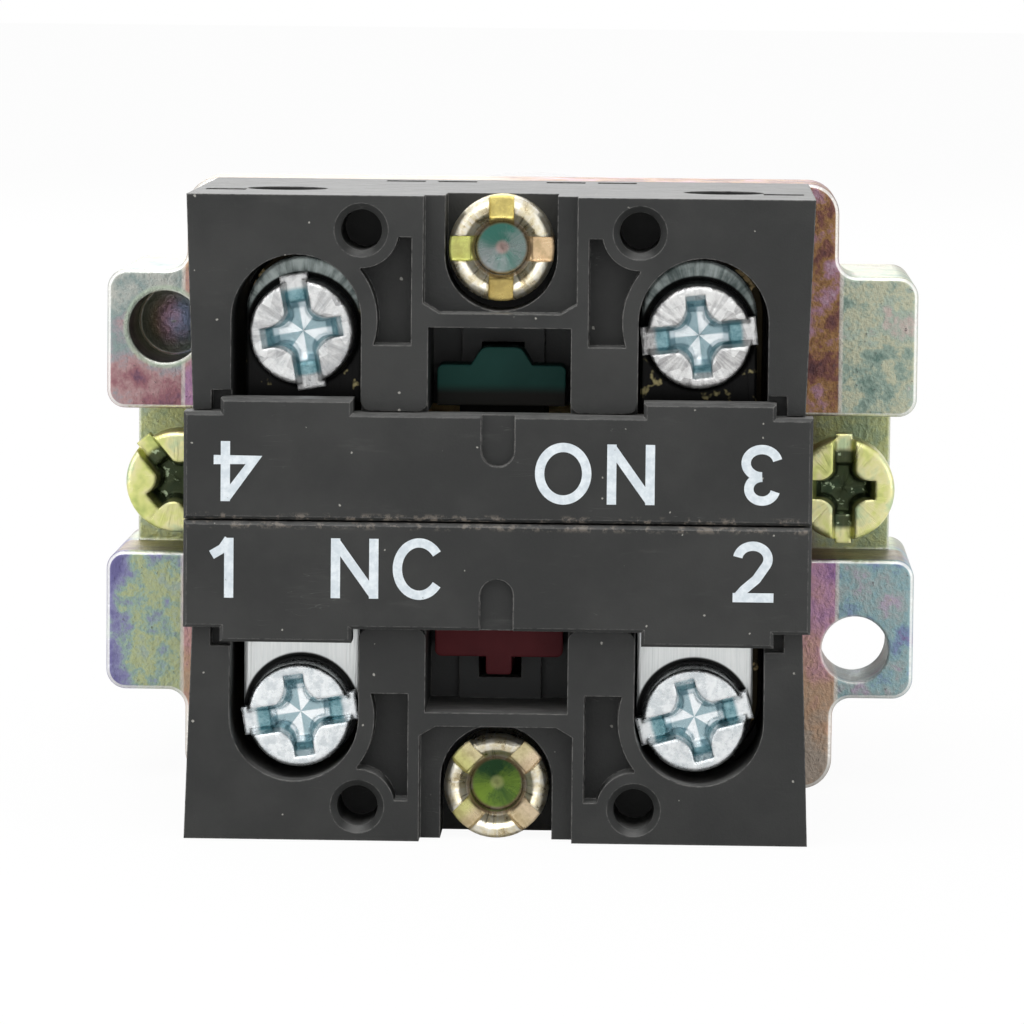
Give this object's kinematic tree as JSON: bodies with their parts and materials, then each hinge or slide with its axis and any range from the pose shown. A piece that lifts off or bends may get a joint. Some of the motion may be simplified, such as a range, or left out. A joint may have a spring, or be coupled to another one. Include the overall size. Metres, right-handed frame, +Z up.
{
  "type": "panel push button with contact blocks",
  "caption": "Panel-mounted flush push button with die-cast fixing collar, jack screws, a normally open and a normally closed screw-terminal contact block behind.",
  "frame": {"origin": "on the barrel's axis in the plane of the panel's front face, where the gasket seats", "axes": "+Y to the rear along the axis, towards the contact blocks; +Z up, to the normally open block and the key; the button faces -Y"},
  "size_m": [0.04, 0.058, 0.03],
  "materials": {
    "zinc_cast": "die-cast zinc, passivated, uneven iridescent film",
    "passivated_steel": "yellow passivated steel",
    "plated_steel": "bright zinc-plated steel",
    "spring_steel": "drawn spring wire",
    "contact_brass": "stamped brass with silver tips",
    "black_moulding": "moulded, fine sheen",
    "green_plunger": "moulded green",
    "red_plunger": "moulded red",
    "green_cap": "smooth moulded green",
    "pusher_plastic": "moulded, off-white",
    "bezel_chrome": "bright ring",
    "rubber": "black rubber"
  },
  "bodies": {
    "frame": {"mounting_collar": "zinc_cast", "operator_barrel": "zinc_cast", "bezel_ring": "bezel_chrome", "panel_gasket": "rubber", "no_housing": "black_moulding", "nc_housing": "black_moulding", "no_base": "black_moulding", "nc_base": "black_moulding", "no_cover": "black_moulding", "nc_cover": "black_moulding", "fixed_contact_1": "contact_brass", "fixed_contact_2": "contact_brass", "fixed_contact_3": "contact_brass", "fixed_contact_4": "contact_brass", "return_spring": "spring_steel", "no_plunger_spring": "spring_steel", "nc_plunger_spring": "spring_steel"},
    "button": {"button_cap": "green_cap", "seal_ring": "rubber", "pusher": "pusher_plastic", "retaining_ring": "spring_steel"},
    "no_plunger": {"no_plunger": "green_plunger", "no_contact_spring": "spring_steel"},
    "nc_plunger": {"nc_plunger": "red_plunger", "nc_contact_spring": "spring_steel"},
    "no_bridge": {"no_contact_bridge": "contact_brass"},
    "nc_bridge": {"nc_contact_bridge": "contact_brass"},
    "no_fixing_screw": {"no_fixing_screw": "passivated_steel"},
    "nc_fixing_screw": {"nc_fixing_screw": "passivated_steel"},
    "jack_screw_left": {"jack_screw_left": "passivated_steel"},
    "jack_screw_right": {"jack_screw_right": "passivated_steel"},
    "clamp_1": {"terminal_clamp_1": "plated_steel"},
    "screw_1": {"terminal_screw_1": "plated_steel"},
    "clamp_2": {"terminal_clamp_2": "plated_steel"},
    "screw_2": {"terminal_screw_2": "plated_steel"},
    "clamp_3": {"terminal_clamp_3": "plated_steel"},
    "screw_3": {"terminal_screw_3": "plated_steel"},
    "clamp_4": {"terminal_clamp_4": "plated_steel"},
    "screw_4": {"terminal_screw_4": "plated_steel"}
  },
  "joints": [
    {"name": "button_press", "type": "slide", "parent": "frame", "child": "button", "axis": [0, 1, 0], "range_m": [0, 0.0043], "stiffness_N_per_m": 700, "springref_m": -0.004, "deforming": ["return_spring"]},
    {"name": "no_plunger_slide", "type": "slide", "parent": "frame", "child": "no_plunger", "axis": [0, 1, 0], "range_m": [0, 0.0043], "deforming": ["no_plunger_spring", "no_contact_spring"]},
    {"name": "no_bridge_slide", "type": "slide", "parent": "frame", "child": "no_bridge", "axis": [0, 1, 0], "range_m": [0, 0.0026]},
    {"name": "nc_plunger_slide", "type": "slide", "parent": "frame", "child": "nc_plunger", "axis": [0, 1, 0], "range_m": [0, 0.0043], "deforming": ["nc_plunger_spring", "nc_contact_spring"]},
    {"name": "nc_bridge_slide", "type": "slide", "parent": "frame", "child": "nc_bridge", "axis": [0, 1, 0], "range_m": [0, 0.0028]},
    {"name": "clamp_1_slide", "type": "slide", "parent": "frame", "child": "clamp_1", "axis": [0, -1, 0], "range_m": [0, 0.004]},
    {"name": "screw_1_turn", "type": "hinge", "parent": "clamp_1", "child": "screw_1", "pos_m": [0.0092, 0.0421, -0.00925], "axis": [0, -1, 0], "range_deg": [0, 2880]},
    {"name": "clamp_2_slide", "type": "slide", "parent": "frame", "child": "clamp_2", "axis": [0, -1, 0], "range_m": [0, 0.004]},
    {"name": "screw_2_turn", "type": "hinge", "parent": "clamp_2", "child": "screw_2", "pos_m": [-0.0092, 0.0421, -0.00925], "axis": [0, -1, 0], "range_deg": [0, 2880]},
    {"name": "clamp_3_slide", "type": "slide", "parent": "frame", "child": "clamp_3", "axis": [0, -1, 0], "range_m": [0, 0.004]},
    {"name": "screw_3_turn", "type": "hinge", "parent": "clamp_3", "child": "screw_3", "pos_m": [-0.0092, 0.0421, 0.0086], "axis": [0, -1, 0], "range_deg": [0, 2880]},
    {"name": "clamp_4_slide", "type": "slide", "parent": "frame", "child": "clamp_4", "axis": [0, -1, 0], "range_m": [0, 0.004]},
    {"name": "screw_4_turn", "type": "hinge", "parent": "clamp_4", "child": "screw_4", "pos_m": [0.0092, 0.0421, 0.0086], "axis": [0, -1, 0], "range_deg": [0, 2880]},
    {"name": "no_fixing_screw_turn", "type": "hinge", "parent": "frame", "child": "no_fixing_screw", "pos_m": [0, 0.041, 0.01255], "axis": [0, -1, 0], "continuous": true},
    {"name": "nc_fixing_screw_turn", "type": "hinge", "parent": "frame", "child": "nc_fixing_screw", "pos_m": [0, 0.041, -0.01255], "axis": [0, -1, 0], "continuous": true},
    {"name": "jack_screw_left_turn", "type": "hinge", "parent": "frame", "child": "jack_screw_left", "pos_m": [0.01645, 0.0246, 0], "axis": [0, -1, 0], "continuous": true},
    {"name": "jack_screw_right_turn", "type": "hinge", "parent": "frame", "child": "jack_screw_right", "pos_m": [-0.01645, 0.0246, 0], "axis": [0, -1, 0], "continuous": true}
  ],
  "couplings": [
    {"joint": "no_plunger_slide", "follows": "button_press", "ratio": 1},
    {"joint": "no_bridge_slide", "follows": "button_press", "ratio": 0.6046},
    {"joint": "nc_plunger_slide", "follows": "button_press", "ratio": 1},
    {"joint": "nc_bridge_slide", "follows": "button_press", "ratio": 0.6511},
    {"joint": "screw_1_turn", "follows": "clamp_1_slide", "rad_per_m": 12566},
    {"joint": "screw_2_turn", "follows": "clamp_2_slide", "rad_per_m": 12566},
    {"joint": "screw_3_turn", "follows": "clamp_3_slide", "rad_per_m": 12566},
    {"joint": "screw_4_turn", "follows": "clamp_4_slide", "rad_per_m": 12566}
  ]
}
